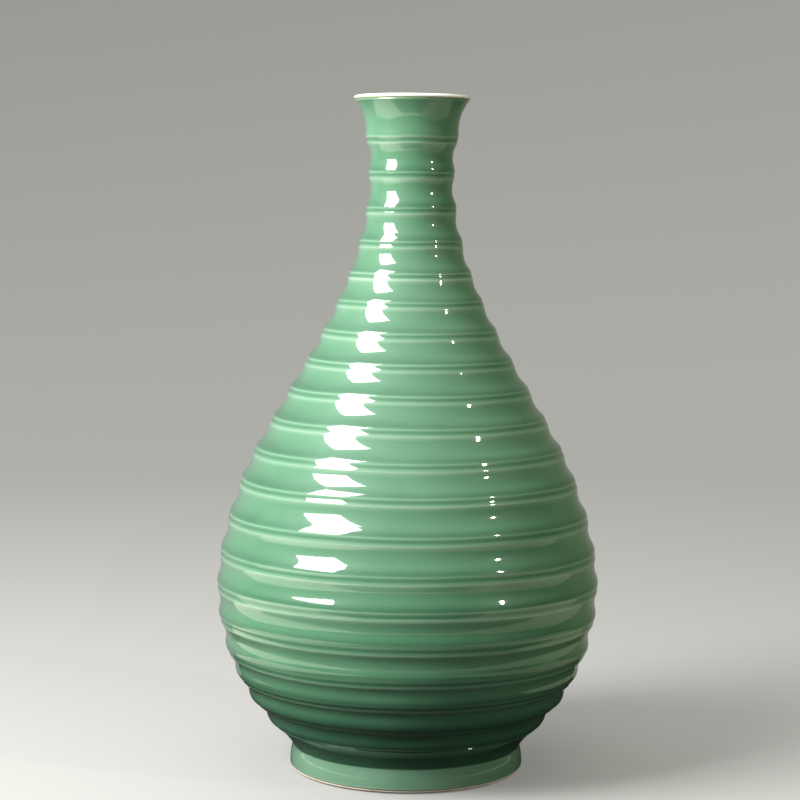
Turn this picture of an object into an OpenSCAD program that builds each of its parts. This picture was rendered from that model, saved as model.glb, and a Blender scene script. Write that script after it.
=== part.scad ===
// Celadon porcelain bottle vase with turned rings, built up from thrown sections.
// Origin: centre of the foot's resting face. +Z runs up the axis to the mouth.

/* [Body] */
// Height of the vase
vase_h = 420; // [414:1:430]
// Radius over the rings at the belly
belly_r = 119.7; // [112:0.1:126]
// Radius over the rings at the narrowest part of the neck
neck_r = 26.9; // [26:0.1:31]
// Wall from the ring crests to the inside of the belly
belly_wall = 7.5; // [6.5:0.1:9]
// Wall from the ring crests to the inside of the neck
neck_wall = 6.5; // [6:0.1:7.5]

/* [Rings] */
// Height of the middle of the top ring's channel
top_ring_z = 392.5; // [391:0.1:395]
// Distance from the middle of a ring's channel up to its crest
crest_rise = 1.6; // [1:0.1:2]
// Width of the channel in a ring at the neck
channel_neck = 3.6; // [3:0.1:4.5]
// Width of the channel in a ring at the belly
channel_belly = 4.8; // [3.5:0.1:5.5]
// Depth of the channels
channel_depth = 0.2; // [0.1:0.05:0.3]
// Radii of the rounded crests at the foot, the belly, the shoulder and the neck
crest_round = [10, 16, 15.5, 15.5]; // [9:0.5:18]
// Radii of the hollows between the crests, at the same places
hollow_round = [9, 18, 19.5, 16.5]; // [9:0.5:21]

/* [Mouth] */
// Outer radius of the mouth
mouth_r = 36.3; // [35:0.1:39]
// Thickness of the rounded lip
lip_w = 3.4; // [3:0.1:4]
// Radius of the hollow under the lip
flare_round = 31; // [28:0.5:36]
// Height of the white glaze on the lip
lip_band = 2.6; // [2:0.1:4]

/* [Foot] */
// Largest radius of the foot ring
foot_r = 73.2; // [72:0.1:75]
// Radius where the foot meets the belly
foot_top_r = 71.5; // [71:0.1:72]
// Height where the foot meets the belly
foot_h = 14.3; // [13.5:0.1:15]
// Radius of the cove over the foot
cove_round = 40; // [30:1:60]
// Width of the foot ring
foot_w = 10; // [8:0.1:12]
// Height of the body's underside inside the foot ring
base_z = 9.6; // [9:0.1:10.5]
// Thickness of the floor
floor_t = 7.6; // [6.5:0.1:8.5]
// Height of the bare edge under the glaze
bare_h = 2; // [1.5:0.1:3]

/* [Glaze and joints] */
// Thickness of the glaze
glaze_t = 0.6; // [0.4:0.1:0.8]
// Thickness of the slip that joins two sections
slip_t = 0.6; // [0.4:0.1:1]
// Height of the lower edge of the joint at the belly
belly_joint_z = 125; // [124:0.5:127]
// Height of the lower edge of the joint under the neck
neck_joint_z = 283; // [282:0.5:285]
// Height of the tongue in a joint
tongue_h = 2.5; // [2:0.1:3]
// Distance from the middle of the wall in to the side of the tongue
tongue_inset = 0.8; // [0.6:0.1:1]

/* [Hidden] */
$fn = 180;

porcelain = [0.90, 0.87, 0.80];
dried_slip = [0.78, 0.72, 0.62];
celadon = [0.36, 0.61, 0.46];
pale_celadon = [0.66, 0.79, 0.69];
lip_white = [0.95, 0.95, 0.90];

// The swell of the body from the neck (0) to the belly (1), as [height, swell].
swell = [
    [27, 0.613], [49, 0.798], [78, 0.941], [115, 1], [153, 0.943], [193, 0.791],
    [233, 0.555], [273, 0.308], [310, 0.125], [343, 0.028], [373, 0], [398, 0.026]
];
// Steps from each ring down to the next. They differ a little, as the rings were turned by eye.
ring_steps = [
    21.5, 21.5, 20.5, 19.5, 17, 18.5, 18, 18, 18.5, 19,
    19.5, 22, 22, 21, 20.5, 20.5, 16.5, 15.5, 14.5
];
rings = len(ring_steps) + 1;

rim_z = vase_h - lip_w / 2;
lip_line_z = vase_h - lip_band;
// Heights at which the values of crest_round and hollow_round are reached.
round_z = [45, 130, 240, 370];
// Swell at which the wall starts to thicken, and at which it is as thick as at the belly.
wall_swell = [0.05, 0.55];
// Height where the inside starts to flare, and how sharply it does.
throat_z = 388;
throat_power = 2.2;
throat_steps = 6;
wall_step = 12;
// Inside, the floor turns up into the wall on a quarter ellipse of this width and height.
floor_corner = [28, 15];
corner_steps = 6;
floor_z = base_z + floor_t;
floor_corner_z = floor_z + floor_corner[1];
// The foot ring is widest at foot_bulge_z and is chamfered where it rests.
foot_bulge_z = 4;
pad_chamfer = 0.8;
foot_step = 1.9;
recess_draft = 1;
// Bounds that lie clear of the vase.
below = -1;
above = vase_h + 20;
beyond = belly_r + 20;

function mix(a, b, t) = a + (b - a) * t;
function sum_to(v, n) = n <= 0 ? 0 : v[n - 1] + sum_to(v, n - 1);

// Smooth curve through the swell's points, with each slope taken from the two neighbours.
function slope(i) =
    let (a = swell[max(i - 1, 0)], b = swell[min(i + 1, len(swell) - 1)])
    (b[1] - a[1]) / (b[0] - a[0]);
function span(z, i = 0) = (i >= len(swell) - 2 || z < swell[i + 1][0]) ? i : span(z, i + 1);
function swell_at(z) =
    let (
        i = span(z),
        p = swell[i],
        q = swell[i + 1],
        h = q[0] - p[0],
        t = (z - p[0]) / h
    )
    (1 + 2 * t) * pow(1 - t, 2) * p[1] + t * pow(1 - t, 2) * h * slope(i)
        + t * t * (3 - 2 * t) * q[1] + t * t * (t - 1) * h * slope(i + 1);

// Radius over the rings, and of the inside wall, at a height.
function crest_r(z) = mix(neck_r, belly_r, swell_at(z));
function wall_at(z) =
    let (t = (swell_at(z) - wall_swell[0]) / (wall_swell[1] - wall_swell[0]))
    mix(neck_wall, belly_wall, min(1, max(0, t)));
function cavity_r(z) =
    let (t = (z - throat_z) / (rim_z - throat_z))
    t > 0 ? mix(crest_r(throat_z) - neck_wall, mouth_r - lip_w, pow(t, throat_power))
        : crest_r(z) - wall_at(z);

function ring_z(i) = top_ring_z - sum_to(ring_steps, i);
function round_at(radii, z) =
    lookup(z, [for (k = [0 : len(round_z) - 1]) [round_z[k], radii[k]]]);

// Circles in the half-section are [centre, radius]. A ring's crest is one, tangent to the swell.
function crest(i) =
    let (
        z = ring_z(i) + crest_rise,
        lean = (crest_r(z + 1) - crest_r(z - 1)) / 2,
        r = round_at(crest_round, z)
    )
    [[crest_r(z), z] - [1, -lean] / norm([1, -lean]) * r, r];

// Hollow circle of radius r that touches circle p and, under it, circle q.
function touching(p, q, r) =
    let (
        v = q[0] - p[0],
        d = norm(v),
        along = (pow(p[1] + r, 2) - pow(q[1] + r, 2) + d * d) / (2 * d),
        out = sqrt(pow(p[1] + r, 2) - along * along)
    )
    [p[0] + v / d * along + [-v[1], v[0]] / d * out, r];

// Hollows from the flare under the lip down to the cove over the foot. Ring i lies between
// hollow i and hollow i + 1.
lip_edge = [mouth_r, rim_z];
foot_top = [foot_top_r, foot_h];
hollows = concat(
    [touching([lip_edge, 0], crest(0), flare_round)],
    [for (i = [0 : rings - 2])
        touching(crest(i), crest(i + 1), round_at(hollow_round, (ring_z(i) + ring_z(i + 1)) / 2))],
    [touching(crest(rings - 1), [foot_top, 0], cove_round)]
);
cove = hollows[rings];

// Place where a crest, less a skin, meets a hollow.
function meet(i, hollow, skin) =
    let (c = crest(i), v = hollow[0] - c[0])
    c[0] + v / norm(v) * (c[1] - skin);

// Shallow channel across the lower half of a crest.
function channel(i) =
    let (
        c = crest(i),
        w = mix(channel_neck, channel_belly, swell_at(ring_z(i))),
        a = asin((ring_z(i) - c[0][1]) / c[1]),
        half = asin(w / 2 / c[1]),
        r = (w * w / 4 + channel_depth * channel_depth) / (2 * channel_depth)
    )
    [c[0] + [cos(a), sin(a)] * (c[1] * cos(half) + r - channel_depth), r];

// Wall of the foot, a little convex, from the chamfer up to the belly.
function foot_wall_r(z) =
    foot_r - (foot_r - foot_top_r) * pow((z - foot_bulge_z) / (foot_h - foot_bulge_z), 2);
foot_wall = concat(
    [[foot_wall_r(pad_chamfer) - pad_chamfer, 0]],
    [for (z = [pad_chamfer : foot_step : foot_h - foot_step / 2]) [foot_wall_r(z), z]]
);

// Corner where the cove, let out by the skin, comes down to the foot wall.
function foot_corner(skin) =
    [cove[0][0] - sqrt(pow(cove[1] + skin, 2) - pow(foot_h - cove[0][1], 2)), foot_h];

// Half-section of everything cut away by the hollows and channels, let out by the skin.
module cut_away(skin) {
    for (i = [0 : rings - 1], c = [hollows[i], channel(i)])
        translate(c[0])
            circle(r = c[1] + skin);
    intersection() {
        translate(cove[0])
            circle(r = cove[1] + skin);
        between(foot_h, above);
    }
}

// Half-section inside the outer surface, less a skin of the given thickness.
module outside(skin) {
    difference() {
        union() {
            polygon(concat(
                [[0, 0]],
                [for (p = foot_wall) p - [skin, 0]],
                [foot_corner(skin)],
                [for (i = [rings - 1 : -1 : 0]) each [
                    meet(i, hollows[i + 1], skin), meet(i, hollows[i], skin)
                ]],
                [lip_edge, [0, rim_z]]
            ));
            intersection() {
                between(below, above);
                for (i = [0 : rings - 1])
                    translate(crest(i)[0])
                        circle(r = crest(i)[1] - skin);
            }
        }
        cut_away(skin);
    }
}

// Half-section of the space inside, let out by the skin.
module cavity(skin) {
    corner_r = cavity_r(floor_corner_z) - floor_corner[0];
    polygon(concat(
        [[0, floor_z - skin]],
        [for (k = [0 : corner_steps - 1]) let (a = 90 * k / corner_steps) [
            corner_r + (floor_corner[0] + skin) * sin(a),
            floor_corner_z - (floor_corner[1] + skin) * cos(a)
        ]],
        [for (z = [floor_corner_z : wall_step : throat_z]) [cavity_r(z) + skin, z]],
        [for (k = [1 : throat_steps])
            let (z = mix(throat_z, rim_z, k / throat_steps))
            [cavity_r(z) + skin, z]],
        [[mouth_r - lip_w + skin, above], [0, above]]
    ));
}

// Rounded top of the lip.
module rim(skin) {
    intersection() {
        translate([mouth_r - lip_w / 2, rim_z])
            circle(r = lip_w / 2 - skin);
        translate([0, rim_z])
            square([mouth_r * 2, lip_w]);
    }
}

// Half-section of the recess under the floor, let out by the skin.
module recess(skin) {
    inner_r = foot_r - foot_w;
    polygon([
        [0, below],
        [inner_r + bare_h - below, below],
        [inner_r + bare_h, 0],
        [inner_r + skin, bare_h],
        [inner_r - recess_draft + skin, base_z - glaze_t + skin],
        [0, base_z - glaze_t + skin]
    ]);
}

// Half-section of the whole vase inside the skin.
module wall(skin) {
    difference() {
        union() {
            difference() {
                outside(skin);
                cavity(skin);
            }
            rim(skin);
        }
        recess(skin);
    }
}

// Everything between two heights.
module between(low, high) {
    translate([0, low])
        square([beyond, high - low]);
}

// Everything under a tongued joint. The tongue on the inner half of the wall rises by tongue_h.
module under_joint(z, gap) {
    middle_z = z + tongue_h / 2;
    tongue_r = (crest_r(middle_z) + cavity_r(middle_z)) / 2 - tongue_inset + gap;
    polygon([
        [0, below], [beyond, below], [beyond, z + gap],
        [tongue_r, z + gap], [tongue_r, z + tongue_h + gap], [0, z + tongue_h + gap]
    ]);
}

// Slip that fills a tongued joint.
module tongued_slip(z) {
    color(dried_slip)
        rotate_extrude()
            intersection() {
                wall(glaze_t);
                difference() {
                    under_joint(z, slip_t);
                    under_joint(z, 0);
                }
            }
}

// Ring that the vase stands on. Its lower edge is bare.
module foot_ring() {
    color(porcelain)
        rotate_extrude()
            intersection() {
                wall(glaze_t);
                between(below, base_z - slip_t);
            }
}

// Floor and lower half of the belly.
module lower_body() {
    color(porcelain)
        rotate_extrude()
            intersection() {
                wall(glaze_t);
                under_joint(belly_joint_z, 0);
                between(base_z, above);
            }
}

// Upper half of the belly and the shoulder.
module upper_body() {
    color(porcelain)
        rotate_extrude()
            difference() {
                intersection() {
                    wall(glaze_t);
                    under_joint(neck_joint_z, 0);
                }
                under_joint(belly_joint_z, slip_t);
            }
}

// Neck with the flared mouth.
module neck() {
    color(porcelain)
        rotate_extrude()
            difference() {
                wall(glaze_t);
                under_joint(neck_joint_z, slip_t);
            }
}

// Slip between the foot ring and the floor.
module foot_slip() {
    color(dried_slip)
        rotate_extrude()
            intersection() {
                wall(glaze_t);
                between(base_z - slip_t, base_z);
            }
}

module belly_slip() {
    tongued_slip(belly_joint_z);
}

module neck_slip() {
    tongued_slip(neck_joint_z);
}

// Celadon glaze over the outside, from the bare foot edge to the lip.
module outer_glaze() {
    color(celadon)
        rotate_extrude()
            intersection() {
                difference() {
                    outside(0);
                    outside(glaze_t);
                }
                between(bare_h, lip_line_z);
            }
}

// Thin pale glaze inside, from the floor to the lip.
module inner_glaze() {
    color(pale_celadon)
        rotate_extrude()
            intersection() {
                difference() {
                    cavity(glaze_t);
                    cavity(0);
                }
                between(0, lip_line_z);
            }
}

// Glaze on the underside, inside the foot ring.
module base_glaze() {
    color(pale_celadon)
        rotate_extrude()
            intersection() {
                difference() {
                    recess(glaze_t);
                    recess(0);
                }
                between(bare_h, base_z);
            }
}

// White glaze over the lip.
module lip_glaze() {
    color(lip_white)
        rotate_extrude()
            intersection() {
                difference() {
                    wall(0);
                    wall(glaze_t);
                }
                between(lip_line_z, above);
            }
}

foot_ring();
lower_body();
upper_body();
neck();
foot_slip();
belly_slip();
neck_slip();
outer_glaze();
inner_glaze();
base_glaze();
lip_glaze();
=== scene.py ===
"""Celadon porcelain bottle vase with turned rings: the looks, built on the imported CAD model.

The outline is in millimetres, as in part.scad. Meshes, the stage and the lamps are in metres.
"""
import math

import bpy
import numpy as np
from mathutils import Matrix, Vector, noise


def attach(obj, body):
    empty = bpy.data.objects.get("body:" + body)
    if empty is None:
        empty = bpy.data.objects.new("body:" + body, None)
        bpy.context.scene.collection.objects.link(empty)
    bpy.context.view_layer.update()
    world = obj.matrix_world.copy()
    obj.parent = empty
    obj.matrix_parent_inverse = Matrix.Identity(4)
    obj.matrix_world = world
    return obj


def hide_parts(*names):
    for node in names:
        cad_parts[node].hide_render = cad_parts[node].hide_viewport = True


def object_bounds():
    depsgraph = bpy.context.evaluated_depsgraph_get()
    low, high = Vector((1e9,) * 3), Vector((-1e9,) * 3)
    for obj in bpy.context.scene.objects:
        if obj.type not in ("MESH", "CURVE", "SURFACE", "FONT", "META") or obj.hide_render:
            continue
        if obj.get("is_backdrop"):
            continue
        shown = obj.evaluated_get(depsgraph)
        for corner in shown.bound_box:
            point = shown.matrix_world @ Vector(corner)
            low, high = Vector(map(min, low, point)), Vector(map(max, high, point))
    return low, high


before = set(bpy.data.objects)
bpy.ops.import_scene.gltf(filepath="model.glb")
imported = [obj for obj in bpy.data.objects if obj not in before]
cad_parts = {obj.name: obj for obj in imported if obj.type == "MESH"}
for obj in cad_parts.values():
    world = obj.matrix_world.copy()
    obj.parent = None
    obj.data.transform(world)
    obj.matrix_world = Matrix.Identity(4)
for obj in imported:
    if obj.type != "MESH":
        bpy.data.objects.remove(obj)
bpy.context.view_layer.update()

MM = 0.001
ROOT = "root"


# ---------------------------------------------------------------- outline, as in part.scad

VASE_H = 420.0
BELLY_R = 119.7
NECK_R = 26.9
BELLY_WALL = 7.5
NECK_WALL = 6.5
TOP_RING_Z = 392.5
CREST_RISE = 1.6
CHANNEL_NECK = 3.6
CHANNEL_BELLY = 4.8
CHANNEL_DEPTH = 0.2
CREST_ROUND = (10.0, 16.0, 15.5, 15.5)
HOLLOW_ROUND = (9.0, 18.0, 19.5, 16.5)
ROUND_Z = (45, 130, 240, 370)
MOUTH_R = 36.3
LIP_W = 3.4
FLARE_ROUND = 31.0
LIP_BAND = 2.6
FOOT_R = 73.2
FOOT_TOP_R = 71.5
FOOT_H = 14.3
COVE_ROUND = 40.0
FOOT_W = 10.0
BASE_Z = 9.6
FLOOR_T = 7.6
BARE_H = 2.0
GLAZE_T = 0.6
FOOT_BULGE_Z = 4.0
RECESS_DRAFT = 1.0
THROAT_Z = 388.0
THROAT_POWER = 2.2
WALL_SWELL = (0.05, 0.55)
FLOOR_CORNER = (28.0, 15.0)

SWELL = [
    (27, 0.613), (49, 0.798), (78, 0.941), (115, 1), (153, 0.943), (193, 0.791),
    (233, 0.555), (273, 0.308), (310, 0.125), (343, 0.028), (373, 0), (398, 0.026),
]
RING_STEPS = [
    21.5, 21.5, 20.5, 19.5, 17, 18.5, 18, 18, 18.5, 19,
    19.5, 22, 22, 21, 20.5, 20.5, 16.5, 15.5, 14.5,
]
RINGS = len(RING_STEPS) + 1
RIM_Z = VASE_H - LIP_W / 2
LIP_LINE_Z = VASE_H - LIP_BAND
FLOOR_Z = BASE_Z + FLOOR_T
FLOOR_CORNER_Z = FLOOR_Z + FLOOR_CORNER[1]


def mix(a, b, t):
    return a + (b - a) * t


def share(t):
    """t kept between 0 and 1."""
    return min(1.0, max(0.0, t))


def slope(i):
    """Slope of the swell at its point i."""
    a, b = SWELL[max(i - 1, 0)], SWELL[min(i + 1, len(SWELL) - 1)]
    return (b[1] - a[1]) / (b[0] - a[0])


def swell_at(z):
    """Share of the way from the neck's radius to the belly's at a height."""
    i = 0
    while i < len(SWELL) - 2 and z >= SWELL[i + 1][0]:
        i += 1
    (z0, s0), (z1, s1) = SWELL[i], SWELL[i + 1]
    h = z1 - z0
    t = (z - z0) / h
    start = (1 + 2 * t) * (1 - t) ** 2 * s0 + t * (1 - t) ** 2 * h * slope(i)
    return start + t * t * (3 - 2 * t) * s1 + t * t * (t - 1) * h * slope(i + 1)


def crest_r(z):
    """Radius that the rings' crests reach at a height."""
    return mix(NECK_R, BELLY_R, swell_at(z))


def cavity_r(z):
    """Radius of the inside, a wall's thickness within the crests, up to the flared mouth."""
    t = max(0.0, (z - THROAT_Z) / (RIM_Z - THROAT_Z))
    if t > 0:
        return mix(crest_r(THROAT_Z) - NECK_WALL, MOUTH_R - LIP_W, t ** THROAT_POWER)
    thicker = (swell_at(z) - WALL_SWELL[0]) / (WALL_SWELL[1] - WALL_SWELL[0])
    return crest_r(z) - mix(NECK_WALL, BELLY_WALL, share(thicker))


def ring_z(i):
    """Height of ring i's channel, counted from the top ring down."""
    return TOP_RING_Z - sum(RING_STEPS[:i])


def crest(i):
    """Centre and radius of a ring's rounded crest."""
    z = ring_z(i) + CREST_RISE
    lean = (crest_r(z + 1) - crest_r(z - 1)) / 2
    radius = float(np.interp(z, ROUND_Z, CREST_ROUND))
    out = np.array([1, -lean]) / math.hypot(1, lean)
    return np.array([crest_r(z), z]) - out * radius, radius


def touching(p, q, radius):
    """Hollow circle of the radius that touches circle p and, under it, circle q."""
    (p_centre, p_radius), (q_centre, q_radius) = p, q
    across = q_centre - p_centre
    length = float(np.hypot(*across))
    along = ((p_radius + radius) ** 2 - (q_radius + radius) ** 2 + length ** 2) / (2 * length)
    out = math.sqrt((p_radius + radius) ** 2 - along ** 2)
    side = np.array([-across[1], across[0]]) / length
    return p_centre + across / length * along + side * out, radius


def channel(i):
    """Upper and lower edge of a ring's channel, and the centre and radius of its hollow."""
    centre, radius = crest(i)
    width = mix(CHANNEL_NECK, CHANNEL_BELLY, swell_at(ring_z(i)))
    angle = math.asin((ring_z(i) - centre[1]) / radius)
    half = math.asin(width / 2 / radius)
    upper, lower = (
        centre + radius * np.array([math.cos(a), math.sin(a)]) for a in (angle + half, angle - half))
    bend = (width ** 2 / 4 + CHANNEL_DEPTH ** 2) / (2 * CHANNEL_DEPTH)
    away = radius * math.cos(half) + bend - CHANNEL_DEPTH
    return upper, lower, centre + away * np.array([math.cos(angle), math.sin(angle)]), bend


def arc(centre, radius, start, end, step=0.25):
    """Points down an arc from the bearing of one point to that of another, without the last."""
    first, last = (math.atan2(*(point - centre)[::-1]) for point in (start, end))
    if start[0] < centre[0]:
        first, last = first % (2 * math.pi), last % (2 * math.pi)
    count = max(3, int(abs(last - first) * radius / step))
    angles = np.linspace(first, last, count, endpoint=False)
    return centre + radius * np.column_stack([np.cos(angles), np.sin(angles)])


def foot_wall_r(z):
    """Radius of the foot ring's outside, which is widest at its bulge."""
    return FOOT_R - (FOOT_R - FOOT_TOP_R) * ((z - FOOT_BULGE_Z) / (FOOT_H - FOOT_BULGE_Z)) ** 2


def even(points, step):
    """The same line with points an even step apart."""
    points = np.asarray(points, float)
    run = np.r_[0, np.cumsum(np.hypot(*np.diff(points, axis=0).T))]
    count = max(2, int(round(run[-1] / step)) + 1)
    at = np.linspace(0, run[-1], count)
    return np.column_stack([np.interp(at, run, points[:, k]) for k in (0, 1)])


def soften(points, reach, step):
    """Rounds the arrises of an evenly stepped line, keeping its ends."""
    width = int(math.ceil(reach / step * 3))
    kernel = np.exp(-0.5 * (np.arange(-width, width + 1) * step / reach) ** 2)
    kernel /= kernel.sum()
    head = 2 * points[0] - points[width:0:-1]
    tail = 2 * points[-1] - points[-2:-width - 2:-1]
    padded = np.vstack([head, points, tail])
    return np.column_stack([np.convolve(padded[:, k], kernel, "valid") for k in (0, 1)])


def outer_line():
    """The outside from the lip's edge down to the glaze's lower edge."""
    lip_edge, foot_top = np.array([MOUTH_R, RIM_Z]), np.array([FOOT_TOP_R, FOOT_H])
    crests = [crest(i) for i in range(RINGS)]
    hollows = [touching((lip_edge, 0), crests[0], FLARE_ROUND)]
    for i in range(RINGS - 1):
        radius = float(np.interp((ring_z(i) + ring_z(i + 1)) / 2, ROUND_Z, HOLLOW_ROUND))
        hollows.append(touching(crests[i], crests[i + 1], radius))
    hollows.append(touching(crests[-1], (foot_top, 0), COVE_ROUND))
    parts = [arc(*hollows[0], lip_edge, crests[0][0])]
    for i, (centre, radius) in enumerate(crests):
        upper, lower, bend_centre, bend = channel(i)
        parts.append(arc(centre, radius, hollows[i][0], upper))
        parts.append(arc(bend_centre, bend, upper, lower))
        parts.append(arc(centre, radius, lower, hollows[i + 1][0]))
        below = crests[i + 1][0] if i < RINGS - 1 else foot_top
        parts.append(arc(*hollows[i + 1], centre, below))
    heights = np.linspace(FOOT_H, BARE_H, 24)
    parts.append(np.array([[foot_wall_r(z), z] for z in heights]))
    return np.vstack(parts)


# ---------------------------------------------------------------- meshes

SEGMENTS = 240
LINE_STEP = 0.25
ARRIS_ROUND = 0.42
RECESS_ROUND = 2.5
STANDING_FADE = 40.0
LIP_FADE = 12.0
ON_AXIS = 1e-6


def thinned(points, turn=0.035, longest=2.6, shortest=0.3):
    """Indices of the points that a smooth line needs: close together only where it bends."""
    keep = [0]
    heading = None
    for k in range(1, len(points) - 1):
        d = points[k + 1] - points[k - 1]
        angle = math.atan2(d[1], d[0])
        gap = float(np.hypot(*(points[k] - points[keep[-1]])))
        if heading is None:
            heading = angle
        bend = abs((angle - heading + math.pi) % (2 * math.pi) - math.pi)
        if gap >= longest or (bend >= turn and gap >= shortest):
            keep.append(k)
            heading = angle
    return keep + [len(points) - 1]


def even_form(_, r, z):
    """The form as drawn, the same at every angle."""
    return r, z


def thrown(angle, r, z):
    """Slight unevenness of a hand-thrown form: r and z, in millimetres, at an angle."""
    x, y = math.cos(angle), math.sin(angle)
    sway = noise.noise(Vector((x * 1.1, y * 1.1, z * 0.012)))
    drift = noise.noise(Vector((x * 1.4 + 7.0, y * 1.4, z * 0.03 + 3.0)))
    ripple = noise.noise(Vector((x * r * 0.045, y * r * 0.045, z * 0.11 + 11.0)))
    fade = share((z - FOOT_H) / STANDING_FADE) * share((VASE_H - z) / LIP_FADE)
    return r + (0.13 * sway + 0.03 * ripple - 0.06) * fade, z + 0.45 * drift * fade


def turned_rows(loop, form):
    """Vertices of a loop of [radius, height] points turned about the axis, and each row's span.

    form gives the radius and height at an angle. A point on the axis makes a row of one vertex.
    """
    verts, starts, lengths = [], [], []
    for r, z in loop:
        starts.append(len(verts))
        if r < ON_AXIS:
            verts.append((0.0, 0.0, z * MM))
        else:
            for s in range(SEGMENTS):
                a = 2 * math.pi * s / SEGMENTS
                rr, zz = form(a, r, z)
                verts.append((rr * math.cos(a) * MM, rr * math.sin(a) * MM, zz * MM))
        lengths.append(len(verts) - starts[-1])
    return verts, starts, lengths


def row_faces(starts, lengths):
    """Faces between each row and the next, and from the last row to the first."""
    faces = []
    for k in range(len(starts)):
        n = (k + 1) % len(starts)
        here, there = starts[k], starts[n]
        if lengths[k] == 1 and lengths[n] == 1:
            continue
        for s in range(SEGMENTS):
            t = (s + 1) % SEGMENTS
            if lengths[k] == 1:
                faces.append((here, there + s, there + t))
            elif lengths[n] == 1:
                faces.append((here + s, there, here + t))
            else:
                faces.append((here + s, there + s, there + t, here + t))
    return faces


def revolve(name, loop, form=thrown, depths=None):
    """A closed body of revolution that rides on the vase, with a glaze depth for each point, which
    also carries painted shade and painted light.
    """
    verts, starts, lengths = turned_rows(loop, form)
    mesh = bpy.data.meshes.new(name)
    mesh.from_pydata(verts, [], row_faces(starts, lengths))
    mesh.update()
    if depths is not None:
        layer = mesh.attributes.new("depth_and_shade", "FLOAT", "POINT")
        layer.data.foreach_set("value", np.repeat(np.asarray(depths, float), lengths))
    mesh.shade_smooth()
    piece = bpy.data.objects.new(name, mesh)
    bpy.context.collection.objects.link(piece)
    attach(piece, ROOT)
    return piece


# How deep the glaze lies outside: 0 where it is thinnest, 1 where it pools. Low down it is deeper as
# painted shade, and on the neck and the foot wall less deep as painted light. The pairs are a change
# of depth and how far it reaches, in millimetres.
COMMON_DEPTH = 0.60
UPPER_ARRIS = (-0.36, 0.8)
LOWER_ARRIS = (-0.24, 1.1)
CHANNEL_POOL = (0.28, 0.9)
RIM_THINNING = (-0.45, 1.1)
FOOT_EDGE_THINNING = (-0.25, 0.8)
# Paler glaze colour on the foot wall: painted light.
FOOT_PAINTED_LIGHT = -0.52
BAND_TOP_DEPTH = -0.28
BAND_RUN_DOWN = 0.64
BAND_RUN_POWER = 0.65
# Deeper glaze colour towards the foot is painted shade; the slightly paler neck is painted light.
# Heights in millimetres.
PAINTED_SHADE_Z = (FOOT_H, 40, 60, 85, 260, 320)
PAINTED_SHADE_DEPTH = (0.32, 0.24, 0.12, 0, 0, -0.06)
ROLL_DEPTH = 0.25


def fading(away, change):
    """Change of depth that dies away with distance."""
    return change[0] * np.exp(-(away / change[1]) ** 2)


def depth_and_shade_along(line):
    """Depth along the outside. Glaze leaves the arrises and runs down each band to the next ring.
    Deeper low down as painted shade, less deep on the neck and the foot wall as painted light.
    """
    z = line[:, 1]
    depth = np.full(len(line), COMMON_DEPTH)
    for i in range(RINGS):
        upper, lower = channel(i)[:2]
        middle = (upper + lower) / 2
        for point, change in ((upper, UPPER_ARRIS), (lower, LOWER_ARRIS), (middle, CHANNEL_POOL)):
            depth += fading(np.hypot(*(line - point).T), change)
        if i + 1 < RINGS:
            band_top, band_bottom = lower[1], channel(i + 1)[0][1]
            run = (band_top - z) / (band_top - band_bottom)
            in_band = (run > 0) & (run < 1)
            run_down = BAND_TOP_DEPTH + BAND_RUN_DOWN * np.clip(run, 0, 1) ** BAND_RUN_POWER
            depth += run_down * in_band
    depth += fading(z - RIM_Z, RIM_THINNING) + fading(z - BARE_H, FOOT_EDGE_THINNING)
    # Painted shade low down, painted light on the neck and the foot wall.
    depth += np.interp(z, PAINTED_SHADE_Z, PAINTED_SHADE_DEPTH) + FOOT_PAINTED_LIGHT * (z < FOOT_H)
    return np.clip(depth, 0.0, 1.0)


def glaze_coat():
    """Celadon glaze over the outside, a closed shell with a rounded roll at its lower edge."""
    line = even(outer_line(), LINE_STEP)
    line = soften(line, ARRIS_ROUND, LINE_STEP)
    line = line[line[:, 1] <= LIP_LINE_Z]
    line = line[thinned(line)]
    roll = [line[-1] + (-GLAZE_T * 0.35, -0.12), line[-1] + (-GLAZE_T * 0.8, -0.02)]
    inner = line[::-1][::4] - (GLAZE_T, 0)
    loop = np.vstack([line, roll, inner])
    depth = np.r_[depth_and_shade_along(line), [ROLL_DEPTH] * len(roll), np.full(len(inner), COMMON_DEPTH)]
    piece = revolve("celadon_coat", loop, depths=depth)
    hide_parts("outer_glaze")
    return piece


def lip_coat():
    """White glaze over the rounded lip."""
    centre = np.array([MOUTH_R - LIP_W / 2, RIM_Z])
    outside = even(outer_line(), LINE_STEP)
    outside = outside[outside[:, 1] >= LIP_LINE_Z][::-1]
    angles = np.radians(np.linspace(0, 180, 25))
    top = centre + np.column_stack([np.cos(angles), np.sin(angles)]) * LIP_W / 2
    heights = np.linspace(RIM_Z, LIP_LINE_Z, 4)
    inside = np.array([[cavity_r(z), z] for z in heights])
    line = np.vstack([outside[:-1], top, inside[1:]])
    under = np.column_stack([np.cos(angles), np.sin(angles)]) * (LIP_W / 2 - GLAZE_T) + centre
    low_out = [outside[0] - (GLAZE_T, 0)]
    low_in = [inside[-1] + (GLAZE_T, 0)]
    loop = np.vstack([line, low_in, under[::-1][::3], low_out])
    piece = revolve("lip_coat", loop)
    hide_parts("lip_glaze")
    return piece


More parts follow.
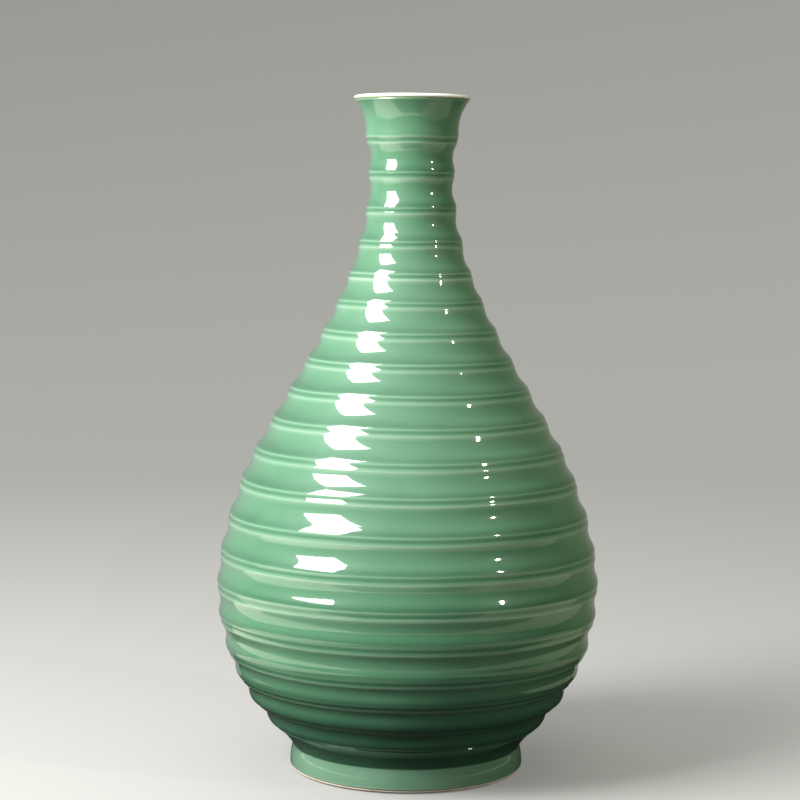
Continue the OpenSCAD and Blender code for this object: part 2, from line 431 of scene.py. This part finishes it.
def inner_coat():
    """Pale glaze inside, from the floor up to the lip."""
    corner_r = cavity_r(FLOOR_CORNER_Z) - FLOOR_CORNER[0]

    def corner(skin):
        angles = np.radians(np.linspace(0, 90, 12, endpoint=False))
        return np.column_stack([
            corner_r + (FLOOR_CORNER[0] + skin) * np.sin(angles),
            FLOOR_CORNER_Z - (FLOOR_CORNER[1] + skin) * np.cos(angles),
        ])

    heights = np.r_[np.arange(FLOOR_CORNER_Z, THROAT_Z, 5), np.linspace(THROAT_Z, LIP_LINE_Z, 12)]
    wall = np.array([[cavity_r(z), z] for z in heights])
    face = np.vstack([[[0, FLOOR_Z]], corner(0), wall])
    back = np.vstack([[[0, FLOOR_Z - GLAZE_T]], corner(GLAZE_T), wall + (GLAZE_T, 0)])
    piece = revolve("inner_coat", np.vstack([back, face[::-1]]))
    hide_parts("inner_glaze")
    return piece


def base_coat():
    """Glaze on the underside, with a soft corner where it runs into the foot ring."""
    inner_r = FOOT_R - FOOT_W
    top_r, ceiling = inner_r - RECESS_DRAFT, BASE_Z - GLAZE_T
    corner = [(top_r - RECESS_ROUND * (1 - math.sin(a)), ceiling - RECESS_ROUND * (1 - math.cos(a)))
              for a in np.radians(np.linspace(0, 90, 8))]
    edge = [(inner_r - 0.15, BARE_H + 0.9), (inner_r + 0.1, BARE_H)]
    face = [(0, ceiling)] + corner + edge
    back = [(inner_r + GLAZE_T, BARE_H), (top_r + GLAZE_T, BASE_Z), (0, BASE_Z)]
    piece = revolve("base_coat", np.array(face + back), form=even_form)
    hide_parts("base_glaze")
    return piece


# ---------------------------------------------------------------- materials

def new_material(name):
    mat = bpy.data.materials.new(name)
    mat.use_nodes = True
    tree = mat.node_tree
    shader = tree.nodes["Principled BSDF"]
    return mat, tree, shader


def node(tree, kind, inputs=None, **settings):
    """New node with its settings. An input given as a socket is linked, a value is set."""
    made = tree.nodes.new(kind)
    for key, value in settings.items():
        setattr(made, key, value)
    for key, value in (inputs or {}).items():
        if isinstance(value, bpy.types.NodeSocket):
            tree.links.new(value, made.inputs[key])
        else:
            made.inputs[key].default_value = value
    return made


def ramp(tree, factor, stops):
    """Colour ramp with the stops as (position, colour)."""
    made = node(tree, "ShaderNodeValToRGB", {"Fac": factor})
    elements = made.color_ramp.elements
    while len(elements) < len(stops):
        elements.new(0.5)
    for element, (position, colour) in zip(elements, stops):
        element.position = position
        element.color = (*colour, 1.0)
    return made.outputs["Color"]


def blend(tree, factor, a, b, how="MIX"):
    """Colour a with colour b blended over it."""
    made = node(tree, "ShaderNodeMix", data_type="RGBA", blend_type=how)
    for socket, value in ((made.inputs[0], factor), (made.inputs[6], a), (made.inputs[7], b)):
        if isinstance(value, bpy.types.NodeSocket):
            tree.links.new(value, socket)
        elif isinstance(value, tuple):
            socket.default_value = (*value, 1.0)
        else:
            socket.default_value = value
    return made.outputs[2]


def maths(tree, how, a, b=0.0, c=0.0):
    made = node(tree, "ShaderNodeMath", operation=how)
    for socket, value in zip(made.inputs, (a, b, c)):
        if isinstance(value, bpy.types.NodeSocket):
            tree.links.new(value, socket)
        else:
            socket.default_value = value
    return made.outputs[0]


def place(tree):
    """Position on the piece, in metres."""
    return node(tree, "ShaderNodeTexCoord").outputs["Object"]


def cloud(tree, where, scale, detail=2.0, rough=0.5, distort=0.0):
    """Soft noise around 0.5."""
    made = node(tree, "ShaderNodeTexNoise", {
        "Vector": where, "Scale": scale, "Detail": detail, "Roughness": rough, "Distortion": distort,
    })
    return made.outputs["Fac"]


def specks(tree, where, scale, size, chance):
    """Mask of sparse round specks: size is a share of a cell, chance is how many cells have one."""
    cells = node(tree, "ShaderNodeTexVoronoi", {"Vector": where, "Scale": scale})
    drawn = node(tree, "ShaderNodeSeparateColor", {"Color": cells.outputs["Color"]}).outputs[0]
    chosen = maths(tree, "LESS_THAN", drawn, chance)
    near = node(tree, "ShaderNodeMapRange", {
        "Value": cells.outputs["Distance"], "From Min": size * 0.6, "From Max": size,
        "To Min": 1.0, "To Max": 0.0,
    }, interpolation_type="SMOOTHSTEP")
    return maths(tree, "MULTIPLY", near.outputs[0], chosen)


def glossy_glaze(shader, coat_roughness=0.05):
    """The clear glassy face of a glaze over its coloured depth."""
    shader.inputs["IOR"].default_value = 1.5
    shader.inputs["Specular IOR Level"].default_value = 0.10
    shader.inputs["Coat Weight"].default_value = 1.0
    shader.inputs["Coat Roughness"].default_value = coat_roughness
    shader.inputs["Coat IOR"].default_value = 1.5


def glaze_bump(tree, shader, where, waviness=0.02, peel=0.006):
    """Slow waves of the thrown surface and the fine skin of the fired glaze, in millimetres."""
    waves = cloud(tree, where, 55.0, detail=1.0)
    skin = cloud(tree, where, 420.0, detail=2.0)
    height = maths(tree, "MULTIPLY_ADD", waves, waviness, maths(tree, "MULTIPLY", skin, peel))
    bump = node(tree, "ShaderNodeBump", {"Height": height, "Strength": 1.0, "Distance": MM})
    for socket in ("Normal", "Coat Normal"):
        tree.links.new(bump.outputs["Normal"], shader.inputs[socket])


def celadon_material():
    """Celadon glaze: pale where it lies thin and deep green where it pools, darker low down as painted
    shade and paler on the neck and the foot wall as painted light, with a few specks.
    """
    mat, tree, shader = new_material("celadon_glaze")
    where = place(tree)
    # The depth attribute also carries painted shade and painted light.
    depth = node(tree, "ShaderNodeAttribute", attribute_name="depth_and_shade").outputs["Fac"]
    drift = cloud(tree, where, 14.0, detail=3.0, distort=0.4)
    grain = cloud(tree, where, 900.0, detail=2.0)
    uneven = maths(tree, "MULTIPLY_ADD", maths(tree, "SUBTRACT", drift, 0.5), 0.32, depth)
    uneven = maths(tree, "MULTIPLY_ADD", maths(tree, "SUBTRACT", grain, 0.5), 0.10, uneven)
    colour = ramp(tree, uneven, [
        (0.0, (0.260, 0.350, 0.270)),
        (0.22, (0.153, 0.263, 0.182)),
        (0.55, (0.082, 0.188, 0.112)),
        (0.80, (0.057, 0.149, 0.084)),
        (1.0, (0.030, 0.092, 0.050)),
    ])
    pale_dots = specks(tree, where, 110.0, 0.055, 0.10)
    dark_dots = specks(tree, where, 75.0, 0.030, 0.07)
    colour = blend(tree, maths(tree, "MULTIPLY", pale_dots, 0.22), colour, (0.22, 0.30, 0.17))
    colour = blend(tree, maths(tree, "MULTIPLY", dark_dots, 0.55), colour, (0.020, 0.045, 0.025))
    tree.links.new(colour, shader.inputs["Base Color"])
    rough = node(tree, "ShaderNodeMapRange", {
        "Value": cloud(tree, where, 60.0, detail=3.0), "To Min": 0.34, "To Max": 0.46,
    }).outputs[0]
    tree.links.new(rough, shader.inputs["Roughness"])
    glossy_glaze(shader)
    glaze_bump(tree, shader, where)
    return mat


def inner_material():
    """Thin pale celadon of the inside and the underside."""
    mat, tree, shader = new_material("inner_glaze")
    where = place(tree)
    drift = cloud(tree, where, 18.0, detail=3.0, distort=0.5)
    colour = ramp(tree, drift, [
        (0.25, (0.150, 0.260, 0.185)),
        (0.55, (0.210, 0.320, 0.240)),
        (0.80, (0.270, 0.370, 0.290)),
    ])
    dots = specks(tree, where, 90.0, 0.04, 0.08)
    colour = blend(tree, maths(tree, "MULTIPLY", dots, 0.5), colour, (0.08, 0.10, 0.06))
    tree.links.new(colour, shader.inputs["Base Color"])
    shader.inputs["Roughness"].default_value = 0.4
    glossy_glaze(shader, 0.04)
    glaze_bump(tree, shader, where, 0.09, 0.015)
    return mat


def lip_material():
    """White glaze that turns a little brown where it meets the celadon."""
    mat, tree, shader = new_material("lip_glaze")
    where = place(tree)
    height = node(tree, "ShaderNodeSeparateXYZ", {"Vector": where}).outputs["Z"]
    wander = cloud(tree, where, 70.0, detail=2.0)
    level = maths(tree, "MULTIPLY_ADD", maths(tree, "SUBTRACT", wander, 0.5), 0.9 * MM, height)
    seam = node(tree, "ShaderNodeMapRange", {
        "Value": level, "From Min": (LIP_LINE_Z + 0.3) * MM, "From Max": (LIP_LINE_Z + 1.5) * MM,
    }, interpolation_type="SMOOTHSTEP").outputs[0]
    white = ramp(tree, cloud(tree, where, 45.0, detail=3.0), [
        (0.3, (0.62, 0.64, 0.58)),
        (0.7, (0.74, 0.75, 0.71)),
    ])
    colour = blend(tree, seam, (0.36, 0.38, 0.22), white)
    tree.links.new(colour, shader.inputs["Base Color"])
    shader.inputs["Roughness"].default_value = 0.35
    glossy_glaze(shader, 0.05)
    glaze_bump(tree, shader, where, 0.05, 0.012)
    return mat


def porcelain_material():
    """Bare fired porcelain: cream, matt and fine-grained, flashed tan near the glaze."""
    mat, tree, shader = new_material("porcelain_body")
    where = place(tree)
    height = node(tree, "ShaderNodeSeparateXYZ", {"Vector": where}).outputs["Z"]
    cream = ramp(tree, cloud(tree, where, 60.0, detail=4.0, rough=0.6), [
        (0.30, (0.62, 0.49, 0.34)),
        (0.50, (0.74, 0.64, 0.49)),
        (0.75, (0.84, 0.77, 0.64)),
    ])
    flash = node(tree, "ShaderNodeMapRange", {
        "Value": height, "From Min": (BARE_H - 0.9) * MM, "From Max": (BARE_H + 0.1) * MM,
    }, interpolation_type="SMOOTHSTEP").outputs[0]
    patchy = maths(tree, "MULTIPLY", flash, node(tree, "ShaderNodeMapRange", {
        "Value": cloud(tree, where, 25.0, detail=2.0), "To Min": 0.25, "To Max": 0.9,
    }).outputs[0])
    colour = blend(tree, patchy, cream, (0.46, 0.27, 0.13))
    grit = specks(tree, where, 700.0, 0.18, 0.06)
    colour = blend(tree, maths(tree, "MULTIPLY", grit, 0.6), colour, (0.30, 0.22, 0.15))
    tree.links.new(colour, shader.inputs["Base Color"])
    shader.inputs["Roughness"].default_value = 0.72
    shader.inputs["Specular IOR Level"].default_value = 0.35
    height_mix = maths(tree, "ADD", cloud(tree, where, 1500.0, detail=3.0),
                       maths(tree, "MULTIPLY", cloud(tree, where, 250.0), 1.4))
    bump = node(tree, "ShaderNodeBump", {"Height": height_mix, "Strength": 0.5, "Distance": 0.06 * MM})
    tree.links.new(bump.outputs["Normal"], shader.inputs["Normal"])
    return mat


def slip_material():
    """Fired luting slip, matt and a little darker than the porcelain."""
    mat, tree, shader = new_material("slip")
    where = place(tree)
    colour = ramp(tree, cloud(tree, where, 120.0, detail=4.0), [
        (0.3, (0.52, 0.44, 0.33)),
        (0.7, (0.66, 0.58, 0.46)),
    ])
    tree.links.new(colour, shader.inputs["Base Color"])
    shader.inputs["Roughness"].default_value = 0.85
    bump = node(tree, "ShaderNodeBump", {
        "Height": cloud(tree, where, 900.0, detail=3.0), "Strength": 0.5, "Distance": 0.1 * MM,
    })
    tree.links.new(bump.outputs["Normal"], shader.inputs["Normal"])
    return mat


def dress(piece, mat):
    piece.data.materials.clear()
    piece.data.materials.append(mat)


# ---------------------------------------------------------------- stage, lights and camera

# The floor lies just under the foot, and gives off a little light so that it looks pale. The table
# and the mat lie lower still. Places are in metres.
FLOOR_COLOUR = (0.25, 0.247, 0.24)
FLOOR_GLOW = 0.15
FLOOR_GAP = 0.0006
TABLE_Z, MAT_Z = -0.0015, -0.0010
TABLE_LEFT, TABLE_RIGHT, TABLE_FRONT = -1.3, 1.3, -0.75
MAT_LEFT, MAT_RIGHT, MAT_FRONT, BACK = -0.262, 0.231, -0.60, 0.16

# The camera's places are shares of the vase's height, its angles are in degrees.
CAMERA_DISTANCE = 3.1669
CAMERA_HEIGHT = 0.8402
CAMERA_ASIDE = -0.0139
CAMERA_PITCH = 5.226
CAMERA_ROLL = 0.55
CAMERA_LENS = 96.06
CAMERA_SENSOR = 36.0


def plain_material(name, colour):
    """Matt material for the stage."""
    mat, _, shader = new_material(name)
    shader.inputs["Base Color"].default_value = (*colour, 1.0)
    shader.inputs["Roughness"].default_value = 0.9
    shader.inputs["Specular IOR Level"].default_value = 0.2
    return mat


def stage_piece(name, verts, faces, mat):
    """A mesh that belongs to the stage and not to the vase."""
    mesh = bpy.data.meshes.new(name)
    mesh.from_pydata(verts, [], faces)
    mesh.materials.append(mat)
    mesh.shade_smooth()
    made = bpy.data.objects.new(name, mesh)
    bpy.context.collection.objects.link(made)
    made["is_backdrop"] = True
    return made


def backdrop(radius=3.2, flat=1.5, height=3.6, around=96):
    """Pale floor that turns up all round into a wall, as one smooth bowl."""
    bend = radius - flat
    angles = np.radians(np.linspace(0, 90, 37) ** 2 / 90)
    line = [(flat * k / 6, 0.0) for k in range(6)]
    line += [(flat + bend * math.sin(a), bend * (1 - math.cos(a))) for a in angles]
    line.append((radius, height))
    turns = [2 * math.pi * s / around for s in range(around)]
    verts = [(r * math.cos(a), r * math.sin(a), z - FLOOR_GAP) for r, z in line for a in turns]
    faces = [(k * around + s, k * around + (s + 1) % around,
              (k + 1) * around + (s + 1) % around, (k + 1) * around + s)
             for k in range(len(line) - 1) for s in range(around)]
    paper = plain_material("backdrop_paper", FLOOR_COLOUR)
    shader = paper.node_tree.nodes["Principled BSDF"]
    shader.inputs["Emission Color"].default_value = (1.0, 0.99, 0.97, 1.0)
    shader.inputs["Emission Strength"].default_value = FLOOR_GLOW
    bowl = stage_piece("backdrop", verts, faces, paper)
    bowl.visible_diffuse = False
    bowl.visible_glossy = False
    bowl.visible_shadow = False


def mirrored(name, x, y, z, mat):
    """Sheet under the vase, from x[0] to x[1] and y[0] to y[1], that shows only in its reflections."""
    verts = [(x[0], y[0], z), (x[1], y[0], z), (x[1], y[1], z), (x[0], y[1], z)]
    sheet = stage_piece(name, verts, [(0, 1, 2, 3)], mat)
    sheet.visible_camera = False
    sheet.visible_shadow = False


def build_stage():
    """Pale floor. A pale table with a dark mat on it stands in for the floor in the reflections; the
    table's right-hand part is darker, as painted shade.
    """
    backdrop()
    beige = plain_material("table", (0.72, 0.69, 0.57))
    # A darker copy of the table for its right-hand part: painted shade.
    shaded = plain_material("shaded_table_side", (0.34, 0.34, 0.23))
    black = plain_material("mat", (0.012, 0.012, 0.012))
    mirrored("table", (TABLE_LEFT, MAT_RIGHT), (TABLE_FRONT, BACK), TABLE_Z, beige)
    mirrored("shaded_table_side", (MAT_RIGHT, TABLE_RIGHT), (TABLE_FRONT, BACK), TABLE_Z, shaded)
    mirrored("mat", (MAT_LEFT, MAT_RIGHT), (MAT_FRONT, BACK), MAT_Z, black)


def towards(azimuth, elevation):
    """Direction from the vase: azimuth 0 is the camera's side, positive to the right."""
    a, e = math.radians(azimuth), math.radians(elevation)
    return Vector((math.sin(a) * math.cos(e), -math.cos(a) * math.cos(e), math.sin(e)))


def area_light(name, azimuth, elevation, distance, size, radiance, colour, shape="RECTANGLE"):
    """Lamp aimed at the vase's middle, unseen by the camera. Angles in degrees, lengths in metres."""
    data = bpy.data.lights.new(name, "AREA")
    data.shape = shape
    data.size, data.size_y = size
    area = size[0] * size[1] * (math.pi / 4 if shape == "ELLIPSE" else 1)
    data.energy = radiance * math.pi * area
    data.color = colour
    lamp = bpy.data.objects.new(name, data)
    aim = Vector((0, 0, VASE_H * MM * 0.5))
    lamp.location = aim + towards(azimuth, elevation) * distance
    lamp.rotation_euler = (aim - lamp.location).to_track_quat("-Z", "Y").to_euler()
    lamp.visible_camera = False
    bpy.context.collection.objects.link(lamp)


def build_world():
    """Studio with a pale ceiling and a grey wall behind, brighter on the left, dark below."""
    world = bpy.data.worlds.new("studio")
    world.use_nodes = True
    tree = world.node_tree
    direction = node(tree, "ShaderNodeTexCoord").outputs["Generated"]
    split = node(tree, "ShaderNodeSeparateXYZ", {"Vector": direction})

    def along(axis, stops):
        return ramp(tree, maths(tree, "MULTIPLY_ADD", split.outputs[axis], 0.5, 0.5), stops)

    level = along("Z", [
        (0.49, (0.0, 0.0, 0.0)),
        (0.56, (0.03, 0.03, 0.03)),
        (0.63, (1.0, 1.0, 1.0)),
    ])
    aside = along("X", [
        (0.0, (1.4, 1.4, 1.45)),
        (0.30, (1.0, 1.0, 1.0)),
        (0.50, (0.9, 0.9, 0.85)),
        (0.85, (0.42, 0.48, 0.26)),
    ])
    ahead = along("Y", [
        (0.0, (0.32, 0.32, 0.32)),
        (0.5, (0.44, 0.44, 0.44)),
        (1.0, (0.14, 0.14, 0.14)),
    ])
    ceiling = along("Z", [
        (0.72, (0.0, 0.0, 0.0)),
        (0.94, (1.0, 1.0, 1.0)),
    ])
    behind = blend(tree, 1.0, along("Y", [
        (0.60, (0.0, 0.0, 0.0)),
        (0.75, (0.34, 0.34, 0.34)),
        (1.0, (0.38, 0.38, 0.38)),
    ]), along("Z", [
        (0.28, (0.0, 0.0, 0.0)),
        (0.36, (1.0, 1.0, 1.0)),
    ]), "MULTIPLY")
    above = blend(tree, 1.0, blend(tree, 1.0, level, ahead, "MULTIPLY"), ceiling, "ADD")
    above = blend(tree, 1.0, above, behind, "LIGHTEN")
    glow = blend(tree, 1.0, above, aside, "MULTIPLY")
    tree.links.new(glow, tree.nodes["Background"].inputs["Color"])
    bpy.context.scene.world = world


def build_lights():
    """A large softbox at the left and a small lamp at the right, in a dim room."""
    area_light("softbox", azimuth=-58.5, elevation=34, distance=1.25, size=(0.617, 0.828),
               radiance=30.5, colour=(1.0, 1.0, 0.98))
    area_light("small_lamp", azimuth=58.0, elevation=20.4, distance=2.0, size=(0.09, 0.18),
               radiance=260.0, colour=(1.0, 0.95, 0.86), shape="ELLIPSE")
    build_world()


def build_camera():
    """Long lens, a little above the vase's shoulder."""
    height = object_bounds()[1].z
    data = bpy.data.cameras.new("camera")
    data.lens = CAMERA_LENS
    data.sensor_width = CAMERA_SENSOR
    data.clip_start, data.clip_end = 0.05, 50.0
    camera = bpy.data.objects.new("camera", data)
    camera.location = (CAMERA_ASIDE * height, -CAMERA_DISTANCE * height, CAMERA_HEIGHT * height)
    tilt = Matrix.Rotation(math.radians(90 - CAMERA_PITCH), 4, "X")
    roll = Matrix.Rotation(math.radians(CAMERA_ROLL), 4, "Z")
    camera.rotation_euler = (tilt @ roll).to_euler()
    bpy.context.collection.objects.link(camera)
    bpy.context.scene.camera = camera


# ---------------------------------------------------------------- the scene

def main():
    """Glaze coats over the CAD model's porcelain, then the stage, the lamps and the camera."""
    celadon, pale, lip = celadon_material(), inner_material(), lip_material()
    dress(glaze_coat(), celadon)
    dress(lip_coat(), lip)
    dress(inner_coat(), pale)
    dress(base_coat(), pale)
    porcelain, slip = porcelain_material(), slip_material()
    for name in ("foot_ring", "lower_body", "upper_body", "neck"):
        dress(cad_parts[name], porcelain)
    for name in ("foot_slip", "belly_slip", "neck_slip"):
        dress(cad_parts[name], slip)
    build_stage()
    build_lights()
    build_camera()
    bpy.context.scene.view_settings.view_transform = "Standard"


main()
